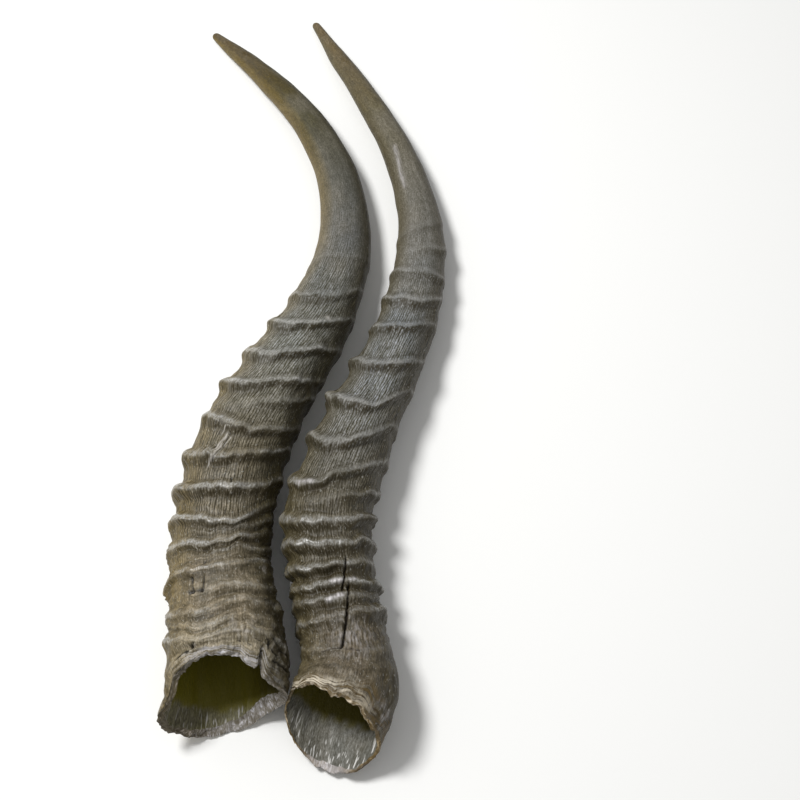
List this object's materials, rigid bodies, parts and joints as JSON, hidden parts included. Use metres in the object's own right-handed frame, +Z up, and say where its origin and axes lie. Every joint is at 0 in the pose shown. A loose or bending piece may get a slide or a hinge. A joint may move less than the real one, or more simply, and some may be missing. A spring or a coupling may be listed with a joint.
{
  "type": "pair of springbok horns",
  "caption": "Pair of hollow, ringed antelope horn sheaths with slanting open bases and smooth hooked points, lying side by side on their sides",
  "frame": {"origin": "centre of the pair's bounding box, on the surface that the horns lie on", "axes": "+Y runs from the open bases to the points, +Z is up, and the fronts of the horns face -X"},
  "size_m": [0.1118, 0.3724, 0.0394],
  "materials": {
    "horn_grey": "dry grey-brown horn keratin, satin and finely streaked lengthwise, paler on worn ring crests",
    "horn_brown": "dry brown-grey horn keratin, satin and finely streaked lengthwise, tan flaking layers at the rim"
  },
  "bodies": {
    "root": {"left_horn": "horn_grey", "right_horn": "horn_brown"}
  },
  "joints": []
}
